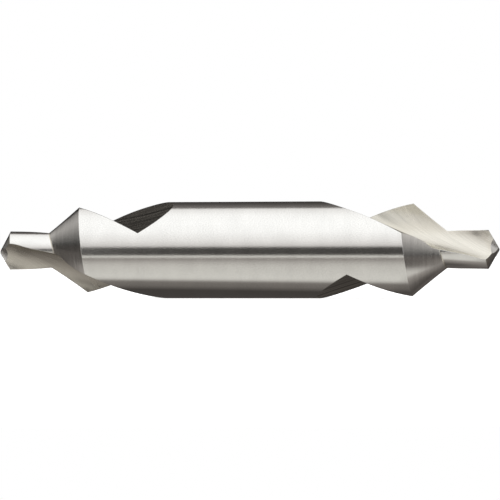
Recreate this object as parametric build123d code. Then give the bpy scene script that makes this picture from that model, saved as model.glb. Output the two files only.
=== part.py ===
from build123d import *
from math import acos, asin, atan2, cos, degrees, hypot, radians, sin, sqrt, tan
import os

# Centre drill: a double-ended combined drill and countersink with helical flutes, ground
# from one bar. The axis lies along X with the origin at mid length, and +Z is up. Clock
# angles go round the axis from the front (-Y) upwards (to +Z). Lengths are in millimetres
# and angles in degrees. The end on +X is modelled, and the other is the same end turned
# round, so both cut and spiral to the right.

# Body and ends
body_diameter = 15.875
overall_length = 82.55
pilot_diameter = 6.35
pilot_length = 6.89
point_length = 1.55
countersink_angle = 82.0
point_angle = 120.0
pilot_back_taper = 0.10
pilot_root_radius = 0.35
front_land_clock = -71.1
far_end_turn = 9.9

# Relief behind the cutting edges: each land is turned about an axis of its own
cone_relief_offset = 0.957
pilot_relief_offset = 0.12
relief_lead_angle = 45.0
land_split_clock = -140.0

# Point grinding: each flank lies on a cone
flank_cone_half_angle = 40.0
flank_apex_distance = 3.0
flank_skew = 0.6
lip_clock = -92.7

# Flutes, ground by a large wheel with a sharp corner and a sloping rim
flute_lead = 88.0
web_radius = 1.126
wheel_radius = 147.7
wheel_rim_slope = 38.9
wheel_setting_angle = 38.1
wheel_corner_place = 0.18
wheel_stop = 0.154
wheel_stop_clock = -36.8

# Web thinning beside the chisel edge: a small round gash, inclined and skewed to the axis
gash_radius = 1.64
gash_depth_from_axis = 0.66
gash_clock = 0.0
gash_incline = 18.0
gash_skew = 33.5
gash_length = 2.2

# Derived sizes
body_radius = body_diameter / 2
pilot_radius = pilot_diameter / 2
pilot_root = pilot_radius - pilot_back_taper
half_length = overall_length / 2
pilot_end = half_length - point_length
cone_start = pilot_end - pilot_length
cone_length = (body_radius - pilot_root) / tan(radians(countersink_angle / 2))
corner_plane = cone_start - cone_length
clear = 4.0


def on_clock(x, radius, clock):
    """The point at x, at this radius and clock angle."""
    return Vector(x, -radius * cos(radians(clock)), radius * sin(radians(clock)))


def turned(shape, clock):
    """The shape turned about the drill's axis by this clock angle."""
    return Rot(-clock, 0, 0) * shape


def half_box(clock, x_from, x_to):
    """A box on the side of the axis that this clock angle points to."""
    size = body_diameter + 2 * clear
    box = Pos((x_from + x_to) / 2, -size / 2, 0) * Box(x_to - x_from, size, 2 * size)
    return turned(box, clock)


def shifted_radius(radius, offset, lead):
    """Distance from an axis moved by offset to a point at this radius and lead angle from it."""
    return sqrt(radius**2 + offset**2 - 2 * radius * offset * cos(radians(lead)))


def round_form(points, offset, clock):
    """A solid of revolution about an axis parallel to X, moved by offset towards the clock angle."""
    centre = on_clock(0, offset, clock)
    outline = Polyline(*[(x, 0, r) for x, r in points], close=True)
    solid = revolve(make_face(outline), Axis.X, 360)
    return Pos(centre.X, centre.Y, centre.Z) * solid


# The form of one land: relieved countersink cone and pilot, with a small radius between them
relief_clock = front_land_clock - relief_lead_angle
cone_corner_r = shifted_radius(body_radius, cone_relief_offset, relief_lead_angle)
cone_root_r = shifted_radius(pilot_root, cone_relief_offset, relief_lead_angle - 11.8)
cone_slope = (cone_corner_r - cone_root_r) / cone_length
cone_big_r = cone_corner_r + clear
cone_form = round_form(
    [
        (0, 0),
        (0, cone_big_r),
        (corner_plane - clear / cone_slope, cone_big_r),
        (corner_plane + cone_corner_r / cone_slope, 0),
    ],
    cone_relief_offset,
    relief_clock,
)
pilot_relief_clock = relief_clock - 25
taper_slope = pilot_back_taper / pilot_length
pilot_tip_r = shifted_radius(pilot_radius, pilot_relief_offset, relief_lead_angle)
pilot_form = round_form(
    [
        (0, 0),
        (0, pilot_tip_r - pilot_end * taper_slope),
        (half_length + clear, pilot_tip_r + (point_length + clear) * taper_slope),
        (half_length + clear, 0),
    ],
    pilot_relief_offset,
    pilot_relief_clock,
)
land_form = cone_form + pilot_form
root_edges = [e for e in land_form.edges() if e.geom_type == GeomType.BSPLINE]
land_form = fillet(root_edges, pilot_root_radius)

relief_from = corner_plane - clear / 2
relief_to = half_length + clear / 2
land_relief = half_box(land_split_clock + 90, relief_from, relief_to) - land_form


# The point: each flank lies on a cone whose apex stands off beyond the tip, ahead of the lip
apex_lean = radians(point_angle / 2 - flank_cone_half_angle)
apex_rise = flank_apex_distance * cos(radians(point_angle / 2))
apex_reach = flank_apex_distance * sin(radians(point_angle / 2))


def chisel_height():
    """Height of the flank cone's surface on the axis, counted from the lips' common point."""
    spread = cos(radians(flank_cone_half_angle)) ** 2
    a = cos(apex_lean) ** 2 - spread
    b = -2 * sin(apex_lean) * cos(apex_lean) * apex_reach
    c = (sin(apex_lean) * apex_reach) ** 2 - spread * (apex_reach**2 + flank_skew**2)
    return apex_rise + (-b - sqrt(b**2 - 4 * a * c)) / (2 * a)


along_lip = on_clock(0, 1, lip_clock)
behind_lip = on_clock(0, 1, lip_clock + 90)
lips_meet = Vector(half_length - chisel_height(), 0, 0)
flank_apex = lips_meet - along_lip * apex_reach - behind_lip * flank_skew + Vector(apex_rise, 0, 0)
flank_axis = Vector(cos(apex_lean), 0, 0) - along_lip * sin(apex_lean)
flank_height = 3 * pilot_diameter
flank_cone = Plane(origin=flank_apex, z_dir=flank_axis) * Cone(
    bottom_radius=flank_height * tan(radians(flank_cone_half_angle)),
    top_radius=0,
    height=flank_height,
    align=(Align.CENTER, Align.CENTER, Align.MAX),
)
tip_block = Pos(half_length, 0, 0) * Box(2 * clear, 2 * clear, 2 * clear)
flank_relief = tip_block - flank_cone


# Flutes: the wheel runs along a helix, and where it stops it leaves the body on its own circle
helix_rate = 360 / flute_lead
wheel_axis_height = web_radius + wheel_radius
wheel_tilt = radians(wheel_setting_angle)
rim_slope = radians(wheel_rim_slope)
corner_width = 0.2
rim_start = 2.5
rim_reach = 12.8
wall_reach = 17.5
wall_steps = 7
rim_steps = 7


def rim_place(reach):
    """Place across the wheel and radius of its rim at this reach from the corner."""
    return wheel_corner_place + reach * cos(rim_slope), wheel_radius - reach * sin(rim_slope)


def contact_turn(reach):
    """Turn of the wheel at which the rim touches the swept flute.

    There the rim's normal stands square to the screw motion, which reads
    a cos(turn) + b sin(turn) + c = 0.
    """
    across, rim_radius = rim_place(reach)
    k = radians(helix_rate)
    a = k * cos(wheel_tilt) * (sin(rim_slope) * rim_radius - cos(rim_slope) * across)
    b = cos(rim_slope) * (cos(wheel_tilt) + k * wheel_axis_height * sin(wheel_tilt))
    c = sin(rim_slope) * (sin(wheel_tilt) - k * wheel_axis_height * cos(wheel_tilt))
    return atan2(b, a) - acos(-c / hypot(a, b))


def plane_turn(reach, back):
    """Turn at which the stopped wheel's rim passes through the plane this far back."""
    across, rim_radius = rim_place(reach)
    return asin((back - wheel_stop - across * sin(wheel_tilt)) / (rim_radius * cos(wheel_tilt)))


def flute_point(reach, turn, back):
    """A point of the stopped wheel, carried along the helix into the plane this far back."""
    across, rim_radius = rim_place(reach)
    forward = rim_radius * sin(turn)
    outward = wheel_axis_height - rim_radius * cos(turn)
    sideways = forward * sin(wheel_tilt) - across * cos(wheel_tilt)
    place = wheel_stop + forward * cos(wheel_tilt) + across * sin(wheel_tilt)
    clock = front_land_clock + wheel_stop_clock + degrees(atan2(sideways, outward))
    return on_clock(corner_plane - back, hypot(outward, sideways), clock + helix_rate * (back - place))


def flute_section(back):
    """The flute's section in the plane this far back: leading wall, rim side and a closing line."""
    first = max(contact_turn(corner_width), plane_turn(0, back))
    last = plane_turn(0, wall_reach)
    turns = [last + (first - last) * i / wall_steps for i in range(wall_steps + 1)]
    reaches = [rim_start + (rim_reach - rim_start) * i / rim_steps for i in range(rim_steps + 1)]
    wall = [flute_point(0, turn, back) for turn in turns]
    rim = [flute_point(r, max(contact_turn(r), plane_turn(r, back)), back) for r in reaches]
    rim.insert(0, wall[-1])
    return make_face(Wire([Spline(*wall).edge(), Spline(*rim).edge(), Line(rim[-1], wall[0]).edge()]))


flute_front = corner_plane - half_length - 1
stations = [flute_front + i * (0 - flute_front) / 5 for i in range(6)]
stations += [1.8, 3.6, 5.4, 7.2, 9.0, 10.8, 12.6, 14.4, 16.2]
flute = loft([flute_section(back) for back in stations])


# Web thinning: the gash starts at the tip and runs out into the flute
gash_side = on_clock(0, 1, gash_clock)
gash_angle = radians(gash_incline)
gash_run = gash_side * sin(gash_angle) - Vector(cos(gash_angle), 0, 0)
gash_rise = gash_side * cos(gash_angle) + Vector(sin(gash_angle), 0, 0)
gash_line = gash_run * cos(radians(gash_skew)) + gash_run.cross(gash_rise) * sin(radians(gash_skew))
gash_centre = Vector(half_length, 0, 0) + gash_side * gash_depth_from_axis + gash_rise * gash_radius
gash = Plane(origin=gash_centre - gash_line * clear, z_dir=gash_line) * Cylinder(
    radius=gash_radius,
    height=clear + gash_length,
    align=(Align.CENTER, Align.CENTER, Align.MIN),
)

# The drill: one bar, cut by the same tools at both ends
end_cuts = []
for tool in (land_relief, flank_relief, flute, gash):
    end_cuts += [tool, turned(tool, 180)]
far_cuts = [turned(Rot(0, 0, 180) * tool, -far_end_turn) for tool in end_cuts]
drill = Rot(0, 90, 0) * Cylinder(body_radius, overall_length)
for tool in end_cuts + far_cuts:
    drill = drill - tool

os.makedirs("parts", exist_ok=True)
export_step(drill, "parts/centre_drill.step")
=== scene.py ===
import bpy
import numpy as np
from math import radians
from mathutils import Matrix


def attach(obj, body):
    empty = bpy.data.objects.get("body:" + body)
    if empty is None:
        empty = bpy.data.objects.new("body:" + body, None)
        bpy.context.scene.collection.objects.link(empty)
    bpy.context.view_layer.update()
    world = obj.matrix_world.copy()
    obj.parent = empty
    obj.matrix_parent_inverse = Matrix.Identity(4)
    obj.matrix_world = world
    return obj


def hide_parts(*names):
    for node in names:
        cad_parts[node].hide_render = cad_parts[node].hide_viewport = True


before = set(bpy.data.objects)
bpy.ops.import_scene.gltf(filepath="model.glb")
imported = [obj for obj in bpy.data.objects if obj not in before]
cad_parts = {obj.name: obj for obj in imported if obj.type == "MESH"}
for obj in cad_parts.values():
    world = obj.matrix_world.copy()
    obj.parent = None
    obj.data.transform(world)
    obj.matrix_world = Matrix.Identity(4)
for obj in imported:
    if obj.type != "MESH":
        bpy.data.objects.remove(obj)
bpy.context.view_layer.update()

# The drill: one bar of hardened tool steel, ground all over. The body is a plain cylinder. Each
# end has a relieved countersink cone and pilot, two helical flutes cut by a large wheel, and a
# drill point. It lies along X with its middle at the origin. These are its CAD sizes in metres.

half_length = 41.275e-3
body_radius = 7.9375e-3
pilot_radius = 3.175e-3
pilot_length = 6.89e-3
pilot_back_taper = 0.10e-3
point_length = 1.55e-3
cone_angle = radians(41)
pilot_end = half_length - point_length
cone_start = pilot_end - pilot_length
pilot_root_radius = pilot_radius - pilot_back_taper
corner_plane = cone_start - (body_radius - pilot_root_radius) / np.tan(cone_angle)

# Clock angles go round the axis from the front (-Y) up to +Z. The left end is the right one
# turned about Z, and then about the axis by far_end_turn.
front_land_clock = radians(-71.1)
far_end_turn = radians(9.9)


def read_off(items, field, width=1, kind=float):
    """One property of every item of a mesh: an array with a row of this width for each."""
    values = np.empty(len(items) * width, kind)
    items.foreach_get(field, values)
    return values.reshape(-1, width)


def end_of(corners):
    """For the corners of each face, 1 on the right half of the drill and -1 on the left."""
    middle = corners[:, :, 0].mean(1, keepdims=True)
    return np.where(middle > 0, 1.0, -1.0) * np.ones((1, 3))


def seen_from_right_end(corners):
    """Place along the axis, clock angle and radius of corners carried to the right end.

    From the left end, x and y change sign and the clock goes back by far_end_turn.
    """
    end = end_of(corners)
    x = corners[..., 0] * end
    y = corners[..., 1] * end
    z = corners[..., 2]
    clock = np.arctan2(z, -y)
    clock = np.where(end > 0, clock, clock - far_end_turn)
    return x, clock, np.hypot(y, z)


# The CAD node's triangles are loose. In this copy, corners that round to the same step are one
# vertex, and triangles that this folds flat are left out.
steps_per_metre = 1e7
sharp_edge = radians(20)
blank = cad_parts["centre_drill"].data
loose_places = read_off(blank.vertices, "co", 3)
steps = np.round(loose_places * steps_per_metre)
_, first, joined = np.unique(steps, axis=0, return_index=True, return_inverse=True)
triangles = joined.ravel()[read_off(blank.loops, "vertex_index", kind=int)].reshape(-1, 3)
triangles = triangles[(triangles != np.roll(triangles, 1, axis=1)).all(1)]
mesh = bpy.data.meshes.new("ground_drill")
mesh.from_pydata(loose_places[first].tolist(), [], triangles.tolist())
drill = bpy.data.objects.new("ground_drill", mesh)
bpy.context.scene.collection.objects.link(drill)
mesh.shade_smooth()
mesh.set_sharp_from_angle(angle=sharp_edge)
places = read_off(mesh.vertices, "co", 3)
corners = places[read_off(mesh.loops, "vertex_index", kind=int)].reshape(-1, 3, 3)
faces = read_off(mesh.polygons, "normal", 3)

# Each land falls away behind its cutting edge: it is a cone about an axis of its own, which
# stands off by the relief's offset and trails the edge by its lead. The cone's edge twists a
# little on its way from the corner to the root.
cone_relief_offset = 0.957e-3
pilot_relief_offset = 0.12e-3
relief_lead = radians(45)
pilot_axis_lead = radians(70)
cone_edge_twist = radians(11.8)


def relieved(radius, offset, lead):
    """Radius about the moved axis of a land whose cutting edge lies at this radius."""
    return np.sqrt(radius**2 + offset**2 - 2 * radius * offset * np.cos(lead))


def on_land(corners, side, offset, lead, radius, start, slope):
    """Gap between each corner and one land, and the land's exact normal there.

    The land has this radius at the start, and it widens by the slope along x. The corner's arm
    from the land's own axis gives the normal's clock angle, and the slope leans it along x.
    """
    x, clock, from_axis = seen_from_right_end(corners)
    axis_clock = front_land_clock - lead + side * np.pi
    ahead = from_axis * np.cos(clock) - offset * np.cos(axis_clock)
    up = from_axis * np.sin(clock) - offset * np.sin(axis_clock)
    gap = np.hypot(ahead, up) - (radius + slope * (x - start))
    end = end_of(corners)
    arm_clock = np.arctan2(up, ahead)
    arm_clock = np.where(end > 0, arm_clock, arm_clock + far_end_turn)
    normals = np.stack([-slope * end, -np.cos(arm_clock) * end, np.sin(arm_clock)], -1)
    return gap, normals / np.linalg.norm(normals, axis=-1, keepdims=True)


# The normals are exact on the turned body and the relieved lands. A face belongs there when its
# corners lie on that surface and it looks the same way, as a cosine.
flute_face, body_face, cone_face, pilot_face, gash_face = range(5)
body_gap, body_facing = 4e-6, 0.98
land_gap, land_facing = 6e-6, 0.97
kind = np.full(len(faces), flute_face)
normals = read_off(mesh.corner_normals, "vector", 3).reshape(-1, 3, 3)
radius = np.hypot(corners[..., 1], corners[..., 2])
radial = np.stack([0 * radius, corners[..., 1] / radius, corners[..., 2] / radius], -1)
on_body = (np.abs(radius - body_radius) < body_gap).all(1)
on_body &= (faces * radial.mean(1)).sum(-1) > body_facing
normals[on_body] = radial[on_body]
kind[on_body] = body_face

cone_corner = relieved(body_radius, cone_relief_offset, relief_lead)
cone_root = relieved(pilot_root_radius, cone_relief_offset, relief_lead - cone_edge_twist)
cone_slope = (cone_root - cone_corner) / (cone_start - corner_plane)
pilot_tip = relieved(pilot_radius, pilot_relief_offset, relief_lead)
pilot_slope = pilot_back_taper / pilot_length
cone_land = (cone_relief_offset, relief_lead, cone_root, cone_start, cone_slope)
pilot_land = (pilot_relief_offset, pilot_axis_lead, pilot_tip, pilot_end, pilot_slope)
for number, land in ((cone_face, cone_land), (pilot_face, pilot_land)):
    for side in (0, 1):
        gap, exact = on_land(corners, side, *land)
        on = (np.abs(gap) < land_gap).all(1) & (kind == flute_face)
        on &= (faces * exact.mean(1)).sum(-1) > land_facing
        normals[on] = exact[on]
        kind[on] = number
normals /= np.linalg.norm(normals, axis=-1, keepdims=True)
kept = mesh.attributes.new("custom_normal", "FLOAT_VECTOR", "CORNER")
kept.data.foreach_set("vector", normals.ravel())


def marks_on_turned(corners):
    """Clock angle times the body's radius first, then x: a wheel there leaves rings.

    Within a face the clock runs on past half a turn.
    """
    radius = np.hypot(corners[..., 1], corners[..., 2])
    clock = np.arctan2(corners[..., 2], -corners[..., 1])
    clock = np.where(clock - clock[:, :1] > np.pi, clock - 2 * np.pi, clock)
    clock = np.where(clock - clock[:, :1] < -np.pi, clock + 2 * np.pi, clock)
    return np.stack([clock * radius.max(), corners[..., 0]], -1)


# The flutes' wheel is set askew, and travels along a helix until it stops 4 mm behind the
# cone's corner. Corners turned further than a flute is wide are counted from the other flute.
flute_lead = 88e-3
wheel_clock = radians(-36.8)
wheel_setting = radians(38.1)
travel_end = 4e-3
widest_turn = np.pi / 2 + 0.7


def marks_in_flutes(corners):
    """Along the wheel's rim first, then across it.

    With the flute turned back by its helix, a point s sideways and b behind the countersink's
    corner lies s sin(setting) + b cos(setting) along the rim and b sin(setting) - s cos(setting)
    across it, less the turn of the helix where the wheel still travelled.
    """
    x, clock, radius = seen_from_right_end(corners)
    back = corner_plane - x
    travel = np.minimum(back - travel_end, 0)
    rate = 2 * np.pi / flute_lead
    turn = clock - front_land_clock - wheel_clock - rate * travel
    turn = turn - np.pi * np.round(turn[:, :1] / np.pi)
    turn = np.where(turn > widest_turn, turn - np.pi, turn)
    sideways = radius * np.sin(turn)
    outward = radius * np.cos(turn)
    across = back * np.sin(wheel_setting) - sideways * np.cos(wheel_setting)
    across = across - rate * outward * np.cos(wheel_setting) * travel
    along = sideways * np.sin(wheel_setting) + back * np.cos(wheel_setting)
    return np.stack([along, across], -1)


# A small round gash on each side thins the web beside the chisel edge
gash_radius = 1.64e-3
gash_depth_from_axis = 0.66e-3
gash_incline = radians(18)
gash_skew = radians(33.5)
gash_gap, gash_end = 5e-6, 38e-3


def marks_in_gash(corners, side):
    """Along the gash first, then round it, and whether each face lies on its cylinder.

    The gash's axis starts above the chisel edge, sinks towards the shank and is skewed sideways.
    """
    x, clock, radius = seen_from_right_end(corners)
    from_start = np.stack([x, -side * radius * np.cos(clock), side * radius * np.sin(clock)], -1)
    sink, level = np.sin(gash_incline), np.cos(gash_incline)
    rise = np.array([sink, -level, 0])
    run = np.array([-level * np.cos(gash_skew), -sink * np.cos(gash_skew), np.sin(gash_skew)])
    from_start -= np.array([half_length, -gash_depth_from_axis, 0]) + rise * gash_radius
    up, across = from_start @ rise, from_start @ np.cross(run, rise)
    on = (np.abs(np.hypot(up, across) - gash_radius) < gash_gap).all(1) & (x > gash_end).all(1)
    return np.stack([from_start @ run, gash_radius * np.arctan2(across, -up)], -1), on


# The grinding map runs along and across the marks of the wheel that cut each face, in metres
grinding = mesh.uv_layers.new(name="grinding")
on_turned = (kind > flute_face)[:, None, None]
marks = np.where(on_turned, marks_on_turned(corners), marks_in_flutes(corners))
in_gash = np.zeros(len(faces), bool)
for side in (1, -1):
    gash_marks, on_gash = marks_in_gash(corners, side)
    on_gash &= kind == flute_face
    marks[on_gash] = gash_marks[on_gash]
    in_gash |= on_gash
grinding.data.foreach_set("uv", marks.ravel())
grinding.active_render = True


def feed(tree, made, inputs):
    """Link each of a node's inputs to the socket given, or set it to the value given."""
    for name, given in inputs.items():
        if isinstance(given, bpy.types.NodeSocket):
            tree.links.new(given, made.inputs[name])
        else:
            made.inputs[name].default_value = given


def node(tree, kind, inputs, **settings):
    """A new shader node with these inputs and settings."""
    made = tree.nodes.new("ShaderNode" + kind)
    for setting, value in settings.items():
        setattr(made, setting, value)
    feed(tree, made, inputs)
    return made


def ranged(tree, value, start, stop, low=0.0, high=1.0):
    """A number from low to high, as far along as the value is from start to stop."""
    ends = {"From Min": start, "From Max": stop, "To Min": low, "To Max": high}
    return node(tree, "MapRange", {"Value": value, **ends}).outputs[0]


def worked_out(tree, operation, *given):
    """One sum on sockets or plain numbers."""
    return node(tree, "Math", dict(enumerate(given)), operation=operation).outputs[0]


def ground_noise(tree, run, spacing, detail, roughness=0.5, start=(0, 0, 0)):
    """Noise on the grinding map, in marks that run this long and lie this far apart."""
    lay = node(tree, "UVMap", {}, uv_map="grinding").outputs[0]
    scale = (1 / run, 1 / spacing, 1)
    drawn = node(tree, "Mapping", {"Vector": lay, "Location": start, "Scale": scale}).outputs[0]
    look = {"Vector": drawn, "Scale": 1, "Detail": detail, "Roughness": roughness}
    return node(tree, "TexNoise", look).outputs["Fac"]


# Nearly all of the noise lies between these two, and the edges are worn to this radius
noise_low, noise_high = 0.3, 0.7
edge_wear = 0.12e-3


def ground_steel(name, tone, roughness, grain, spacing, run, depth, streak, patch, patchy=0.5):
    """Bright ground steel with marks along the first coordinate of the grinding map.

    Marks lie about spacing apart and run long, in metres; depth is their height, and streak is
    how far the tone wanders from mark to mark. Grain is how much more they blur across than
    along. Patch is the length and width of a broader mottle, and patchy is the share it has.
    """
    steel = bpy.data.materials.new(name)
    steel.use_nodes = True
    tree = steel.node_tree
    scratches = ground_noise(tree, run, spacing, 3, 0.6)
    mottle = ground_noise(tree, *patch, 2, start=(7, 3, 0))
    both = {"Factor": patchy, "A": scratches, "B": mottle}
    marked = node(tree, "Mix", both).outputs["Result"]
    colour = node(tree, "ValToRGB", {"Fac": marked})
    dark_and_light = zip(colour.color_ramp.elements, (noise_low, noise_high), (-streak, streak))
    for element, position, change in dark_and_light:
        element.position = position
        element.color = (*(min(c * (1 + change), 1) for c in tone), 1)
    worn_edge = node(tree, "Bevel", {"Radius": edge_wear}, samples=6).outputs[0]
    raised = {"Strength": 1.0, "Distance": depth, "Height": scratches, "Normal": worn_edge}
    rings = node(tree, "Tangent", {}, direction_type="UV_MAP", uv_map="grinding")
    finish = {
        "Metallic": 1.0,
        "Base Color": colour.outputs["Color"],
        "Roughness": ranged(tree, marked, noise_low, noise_high, 0.8 * roughness, 1.2 * roughness),
        "Anisotropic": grain,
        "Anisotropic Rotation": 0.25,
        "Tangent": rings.outputs[0],
        "Normal": node(tree, "Bump", raised).outputs[0],
    }
    feed(tree, tree.nodes["Principled BSDF"], finish)
    return steel


# The photograph shows four finishes: the marks run along the flutes, round the cones and round
# the body, where they are finer and mottled, and the gashes are duller than the rest.
flute_steel = ground_steel(
    "ground_flute",
    tone=(0.638, 0.619, 0.560),
    roughness=0.25,
    grain=0.7,
    spacing=0.22e-3,
    run=6e-3,
    depth=2.0e-6,
    streak=0.12,
    patch=(12e-3, 0.55e-3),
)
body_steel = ground_steel(
    "ground_body",
    tone=(0.716, 0.716, 0.698),
    roughness=0.115,
    grain=0.0,
    spacing=0.22e-3,
    run=0.15e-3,
    depth=7.0e-6,
    streak=0.14,
    patch=(5e-3, 3e-3),
    patchy=0.25,
)
cone_steel = ground_steel(
    "relief_ground_cone",
    tone=(0.68, 0.673, 0.657),
    roughness=0.21,
    grain=0.6,
    spacing=0.20e-3,
    run=4e-3,
    depth=2.0e-6,
    streak=0.08,
    patch=(8e-3, 0.5e-3),
)
gash_steel = ground_steel(
    "ground_gash",
    tone=(0.62, 0.61, 0.59),
    roughness=0.42,
    grain=0.3,
    spacing=0.15e-3,
    run=1e-3,
    depth=1.5e-6,
    streak=0.10,
    patch=(2e-3, 0.375e-3),
)

# Where the wheel stood before it left the bar, its coarse grains drew long parallel lines, and one
# thin line across the wheel's rim is darker. The lines fade on the way from the run-out to the
# cone.
line_run, line_spacing = 60e-3, 0.70e-3
line_low, line_high = 0.38, 0.62
line_dark, line_light = 0.58, 1.30
dark_line_place, dark_line_core, dark_line_edge = 5.76e-3, 0.12e-3, 0.26e-3
dark_line_tone = 0.45
lines_end, lines_full = 27e-3, 16e-3
tree = flute_steel.node_tree
line_noise = ground_noise(tree, line_run, line_spacing, 1)
lines = ranged(tree, line_noise, line_low, line_high, line_dark, line_light)
lay = node(tree, "UVMap", {}, uv_map="grinding").outputs[0]
across_wheel = node(tree, "SeparateXYZ", {"Vector": lay}).outputs["Y"]
from_dark_line = worked_out(tree, "SUBTRACT", across_wheel, dark_line_place)
from_dark_line = worked_out(tree, "ABSOLUTE", from_dark_line)
dark_line = ranged(tree, from_dark_line, dark_line_core, dark_line_edge, dark_line_tone, 1.0)
place = node(tree, "TexCoord", {}).outputs["Object"]
along_bar = node(tree, "SeparateXYZ", {"Vector": place}).outputs["X"]
from_middle = worked_out(tree, "ABSOLUTE", along_bar)
dwelt = ranged(tree, from_middle, lines_end, lines_full)
drawn = {"Factor": dwelt, "A": 1, "B": worked_out(tree, "MULTIPLY", lines, dark_line)}
shader = tree.nodes["Principled BSDF"]
plain_tone = shader.inputs["Base Color"].links[0].from_socket
lined = {0: plain_tone, "Scale": node(tree, "Mix", drawn).outputs["Result"]}
lined_tone = node(tree, "VectorMath", lined, operation="SCALE").outputs[0]
feed(tree, shader, {"Base Color": lined_tone})

# The point's flanks are ground as the cones are, and the pilots' lands as the body is
point_facing = 0.7
beyond_pilot = np.abs(corners[:, :, 0]).max(1) > pilot_end
kind[(kind == flute_face) & (np.abs(faces[:, 0]) > point_facing) & beyond_pilot] = cone_face
kind[in_gash] = gash_face
for steel in (flute_steel, body_steel, cone_steel, gash_steel):
    mesh.materials.append(steel)
steel_of_kind = np.array([0, 1, 2, 1, 3])
mesh.polygons.foreach_set("material_index", steel_of_kind[kind])
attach(drill, "root")
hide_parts("centre_drill")

# The floor: a wide sheet of pale matt paper that the drill lies on. The camera sees it white, with
# the drill's shadow. In the steel it shows a painted reflection instead of its lit self: glowing
# painted tones, pale in front with a grey band across it, a painted shadow dark below the drill,
# and greyer out past both ends.

floor_level = -body_radius
floor_sides = (-1.5, 1.5)
floor_ends = (-0.9, 2.0)
paper_colour = (0.8, 0.8, 0.8, 1)
lift_to_white = 0.85


def sheet_of_paper(sides, ends, height):
    """A flat rectangle: x runs between its sides and y between its ends, at one height."""
    x, y = np.meshgrid(sides, ends)
    return np.stack([x, y, np.full_like(x, height)], -1)


def mesh_from_grid(name, points):
    """A mesh of quads over a grid of points, one quad between each two rows and columns."""
    rows, columns = points.shape[:2]
    index = np.arange(rows * columns).reshape(rows, columns)
    quads = np.stack([index[:-1, :-1], index[:-1, 1:], index[1:, 1:], index[1:, :-1]], -1)
    made = bpy.data.meshes.new(name)
    made.from_pydata(points.reshape(-1, 3).tolist(), [], quads.reshape(-1, 4).tolist())
    made.update()
    piece = bpy.data.objects.new(name, made)
    bpy.context.scene.collection.objects.link(piece)
    return piece


def bare_material(name):
    """A new material whose node tree is empty, and that tree."""
    made = bpy.data.materials.new(name)
    made.use_nodes = True
    made.node_tree.nodes.clear()
    return made, made.node_tree


def tone_ramp(tree, place, stops, brightest, tint, deep):
    """Tones along a place that goes from nought to one, in a tint that turns deep in the dark.

    Each stop is a place and a tone, in the stops' own units. The brightest tone has the first
    tint and black would have the deep one: shade on paper and cloth is browner than the lit part.
    """
    ramp = node(tree, "ValToRGB", {"Fac": place})
    first, last = stops[0][0], stops[-1][0]
    elements = ramp.color_ramp.elements
    while len(elements) < len(stops):
        elements.new(0.5)
    for element, (stop, tone) in zip(elements, stops):
        share = tone / brightest
        element.position = (stop - first) / (last - first)
        element.color = (*(share * (d + share * (c - d)) for c, d in zip(tint, deep)), 1)
    return ramp.outputs["Color"]


def laid_over(tree, below, share, above):
    """One tone over another, by the share from nought to one."""
    tones = {"Factor": share, "A": below, "B": above}
    return node(tree, "Mix", tones, data_type="RGBA").outputs["Result"]


floor = mesh_from_grid("floor", sheet_of_paper(floor_sides, floor_ends, floor_level))
paper, tree = bare_material("pale_paper_and_painted_reflection")
ray = node(tree, "LightPath", {}).outputs
matt = node(tree, "BsdfDiffuse", {"Color": paper_colour}).outputs[0]
whitening = worked_out(tree, "MULTIPLY", ray["Is Camera Ray"], lift_to_white)
whitened = node(tree, "Emission", {"Strength": whitening}).outputs[0]
lit = node(tree, "AddShader", {0: matt, 1: whitened}).outputs[0]

# The painted reflection and its painted shadow are laid out on the floor's own x and y, a little
# askew
painted_reflection_turn = radians(-1.4)
painted_reflection_front, painted_reflection_back = -0.046, 0.060
place = node(tree, "TexCoord", {}).outputs["Object"]
askew = node(tree, "Mapping", {"Vector": place, "Rotation": (0, 0, painted_reflection_turn)}).outputs[0]
painted_reflection_axes = node(tree, "SeparateXYZ", {"Vector": askew}).outputs
in_front = worked_out(tree, "MINIMUM", painted_reflection_axes["Y"], 0)


def backwards(slant, level):
    """Share of the way from the painted reflection's front to its back.

    It is y less slant times the distance of x from the level place.
    """
    slanted = worked_out(tree, "MULTIPLY_ADD", painted_reflection_axes["X"], -slant, painted_reflection_axes["Y"])
    return ranged(tree, slanted, painted_reflection_front - slant * level, painted_reflection_back - slant * level)


def past(toward, slope, start, stop):
    """How far a floor point is past a line that slants in front of the drill.

    That is x on this side plus y times the slope, from nought at start to one at stop.
    """
    side = worked_out(tree, "MULTIPLY", painted_reflection_axes["X"], toward)
    slanted = worked_out(tree, "MULTIPLY_ADD", in_front, slope, side)
    return ranged(tree, slanted, start, stop)


# Each tone of the painted reflection stands at so many millimetres behind the drill's axis. The
# low tones near the axis are a painted shadow of the drill
under_body = [
    (-46, 0.10), (-43, 0.14), (-36.5, 0.72), (-31, 0.92), (-28, 0.42), (-24, 0.33),
    (-14, 0.69), (-8, 0.80), (-7.2, 0.74), (-6.2, 0.235), (-4.9, 0.185), (-3.8, 0.070),
    (16, 0.07), (32, 0.60), (60, 0.75),
]
under_left_end = [
    (-46, 0.50), (-20, 0.48), (-14.2, 0.40), (-10.8, 0.40), (-8.3, 0.54), (-6.8, 0.64),
    (-5, 0.63), (-4, 0.57), (-3, 0.50), (-2, 0.42), (-1, 0.33), (-0.1, 0.28), (0.8, 0.24),
    (3, 0.21), (16, 0.20), (32, 0.60), (60, 0.75),
]
under_right_end = [
    (-46, 0.55), (-20, 0.78), (-6.5, 0.80), (-5.6, 0.70), (-4.7, 0.42), (-3.5, 0.33),
    (-2.3, 0.24), (-1.7, 0.17), (-0.2, 0.11), (0.4, 0.09), (1.3, 0.13), (16, 0.11),
    (32, 0.60), (60, 0.75),
]
far_left = [
    (-46, 0.42), (-20, 0.42), (-7, 0.18), (-3.5, 0.09), (0, 0.12), (2, 0.10), (60, 0.10),
]
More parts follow.
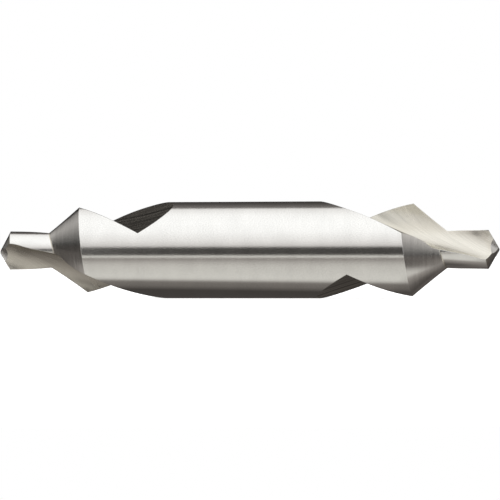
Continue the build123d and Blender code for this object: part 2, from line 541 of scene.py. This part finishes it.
left_edge = [(-46, 0.30), (-20, 0.30), (-7, 0.08), (-3.5, 0.045), (60, 0.045)]
far_right = [
    (-46, 0.16), (-14.7, 0.15), (-10.7, 0.17), (-6, 0.27), (0, 0.24), (5, 0.11), (14, 0.07),
    (60, 0.10),
]
warm, brown = (1, 0.985, 0.93), (1, 0.89, 0.82)
brightest = 0.9
straight = backwards(0, 0)
painted_reflection_tone = tone_ramp(tree, straight, under_body, brightest, warm, brown)
for stops, across_painted_reflection, share in (
    (under_left_end, backwards(0.18, -0.035), past(-1, 2.0, 0.0165, 0.0190)),
    (under_right_end, backwards(0.45, 0.036), past(1, 0.35, 0.022, 0.028)),
    (far_left, straight, past(-1, 1.0, 0.0368, 0.0425)),
    (left_edge, straight, past(-1, 0.0, 0.074, 0.092)),
    (far_right, straight, past(1, 0.35, 0.0340, 0.0405)),
):
    tones = tone_ramp(tree, across_painted_reflection, stops, brightest, warm, brown)
    painted_reflection_tone = laid_over(tree, painted_reflection_tone, share, tones)
# Glossy rays see this glow of painted tones and painted shadow in place of the lit floor
painted_reflection_glow = node(tree, "Emission", {"Strength": brightest, "Color": painted_reflection_tone}).outputs[0]

# The painted reflection ends in front of the drill, and past its edge the steel shows tent and
# room
edge_start, edge_stop = -0.0425, -0.0455
open_front = ranged(tree, painted_reflection_axes["Y"], edge_start, edge_stop)
nothing = node(tree, "BsdfTransparent", {}).outputs[0]
edged = node(tree, "MixShader", {"Fac": open_front, 1: painted_reflection_glow, 2: nothing}).outputs[0]
seen = node(tree, "MixShader", {"Fac": ray["Is Glossy Ray"], 1: lit, 2: edged}).outputs[0]
node(tree, "OutputMaterial", {"Surface": seen})
floor.data.materials.append(paper)

# The tent: white cloth arched over the drill and lit from outside, brightest over the front. A
# dark screen hangs behind it. The camera looks through the cloth.

tent_radius = 1.0
tent_half_length = 0.9
arc_start, arc_stop, arc_steps = -14, 176, 96


def tent_cloth(start, stop, steps):
    """An arc about the X axis: angle from the front (-Y) upwards, drawn out along x."""
    angles = np.radians(np.linspace(start, stop, steps))
    angle, x = np.meshgrid(angles, (-tent_half_length, tent_half_length))
    return np.stack([x, -tent_radius * np.cos(angle), tent_radius * np.sin(angle)], -1)


tent = mesh_from_grid("tent", tent_cloth(arc_start, arc_stop, arc_steps))
tent_map = tent.data.uv_layers.new(name="arc")
corner_index = read_off(tent.data.loops, "vertex_index", kind=int)
arc_place = [corner_index % arc_steps / (arc_steps - 1), corner_index // arc_steps]
tent_map.data.foreach_set("uv", np.stack(arc_place, -1).ravel())
tent.visible_camera = False


def up_arc(angle):
    """Share of the arc at this angle above the front."""
    return (angle - arc_start) / (arc_stop - arc_start)


def along_tent(x):
    """Share of the tent's length at this x."""
    return (x + tent_half_length) / (2 * tent_half_length)


# Each tone stands at so many degrees above the front. Over the left end the cloth is plainer.
over_body = [
    (-14, 0.62), (8, 0.76), (22, 1.06), (44, 1.31), (66, 1.36), (90, 1.30), (115, 1.03),
    (119, 0.24), (124, 0.19), (135, 0.13), (142, 0.085), (155, 0.060), (176, 0.050),
]
over_left_end = [
    (-14, 0.62), (8, 0.80), (20, 1.00), (64, 1.25), (102, 1.15), (118, 0.95), (122, 0.28),
    (140, 0.016), (176, 0.010),
]
left_end_start, left_end_full = -0.36, -0.468
brightest = 1.4
white, warm_white, brown_shade = (1, 1, 1), (1, 0.99, 0.96), (1, 0.91, 0.86)
cloth, tree = bare_material("tent_cloth")
arc = node(tree, "UVMap", {}, uv_map="arc").outputs[0]
cloth_axes = node(tree, "SeparateXYZ", {"Vector": arc}).outputs
body_tone = tone_ramp(tree, cloth_axes["X"], over_body, brightest, white, brown_shade)
end_tone = tone_ramp(tree, cloth_axes["X"], over_left_end, brightest, warm_white, brown_shade)
left_end = (along_tent(left_end_start), along_tent(left_end_full))
past_left_end = ranged(tree, cloth_axes["Y"], *left_end)
cloth_tone = laid_over(tree, body_tone, past_left_end, end_tone)

# A dark hood hangs under the camera's lens, low at the front: it is full below so many degrees,
# and reaches from left of the middle to the right end.
hood_top, hood_full = 9, 5.5
hood_left, hood_inside = -0.279, -0.261
hood_tone = (0.056, 0.053, 0.050, 1)
low = ranged(tree, cloth_axes["X"], up_arc(hood_top), up_arc(hood_full))
beside = ranged(tree, cloth_axes["Y"], along_tent(hood_left), along_tent(hood_inside))
hood = worked_out(tree, "MULTIPLY", low, beside)
cloth_tone = laid_over(tree, cloth_tone, hood, hood_tone)
glow = node(tree, "Emission", {"Strength": brightest, "Color": cloth_tone}).outputs[0]
node(tree, "OutputMaterial", {"Surface": glow})
tent.data.materials.append(cloth)

# The end cards: a card closes the tent at each end and glows with painted light, grey, brighter
# towards its top and its front, with a white glowing flap along the front edge.

card_foot = -0.2
dim_height, lit_height = 0.0, 0.5
flap_start, flap_full = -0.42, -0.50


def end_card(x):
    """A square card across the tent: y runs from front to back and z from the foot up."""
    y, z = np.meshgrid((-tent_radius, tent_radius), (card_foot, tent_radius))
    return np.stack([np.full_like(y, x), y, z], -1)


# Each tone stands at so many millimetres behind the drill's axis
left_tones = [
    (-1000, 0.85), (-500, 0.75), (-240, 0.25), (0, 0.21), (260, 0.275), (600, 0.14),
    (1000, 0.10),
]
right_tones = [(-1000, 0.30), (-300, 0.16), (0, 0.18), (400, 0.20), (1000, 0.12)]
card_white, card_brown = (1, 1, 0.98), (1, 0.955, 0.91)
for name, x, stops, strength_below, strength_above in (
    ("left_card", -tent_half_length, left_tones, 0.12, 2.5),
    ("right_card", tent_half_length, right_tones, 0.55, 4.3),
):
    card = mesh_from_grid(name, end_card(x))
    card.visible_camera = False
    grey, tree = bare_material(name)
    place = node(tree, "TexCoord", {}).outputs["Object"]
    card_axes = node(tree, "SeparateXYZ", {"Vector": place}).outputs
    across = ranged(tree, card_axes["Y"], -tent_radius, tent_radius)
    shade = tone_ramp(tree, across, stops, 1.0, card_white, card_brown)
    # Painted light: the card's glow grows towards its top, as light falling on it would
    height = {"value": card_axes["Z"], "start": dim_height, "stop": lit_height}
    strength = ranged(tree, **height, low=strength_below, high=strength_above)
    glow = node(tree, "Emission", {"Color": shade, "Strength": strength}).outputs[0]
    flap = node(tree, "Emission", {"Strength": 1.0}).outputs[0]
    front = ranged(tree, card_axes["Y"], flap_start, flap_full)
    with_flap = node(tree, "MixShader", {"Fac": front, 1: glow, 2: flap}).outputs[0]
    node(tree, "OutputMaterial", {"Surface": with_flap})
    card.data.materials.append(grey)

# The room: white walls all round, evenly lit. The camera sees them behind the drill, above the
# floor's far edge.
world = bpy.data.worlds.new("studio")
bpy.context.scene.world = world
world.use_nodes = True
white_walls = {"Color": (1, 1, 1, 1), "Strength": 1.0}
feed(world.node_tree, world.node_tree.nodes["Background"], white_walls)
bpy.context.scene.view_settings.view_transform = "Standard"

# The camera: it stands 36 cm in front of the drill at the height of its axis, a little to the
# right of the drill's middle, and looks back at that middle through a long lens.
camera_place = (0.0432, -0.3630, 0)
camera_roll, camera_heading = radians(0.13), radians(6.79)
camera_data = bpy.data.cameras.new("camera")
camera = bpy.data.objects.new("camera", camera_data)
bpy.context.scene.collection.objects.link(camera)
bpy.context.scene.camera = camera
camera_data.sensor_width = 36
camera_data.lens = 160.16
camera_data.shift_x = 0.0066
camera.rotation_mode = "XYZ"
camera.location = camera_place
camera.rotation_euler = (radians(90), camera_roll, camera_heading)
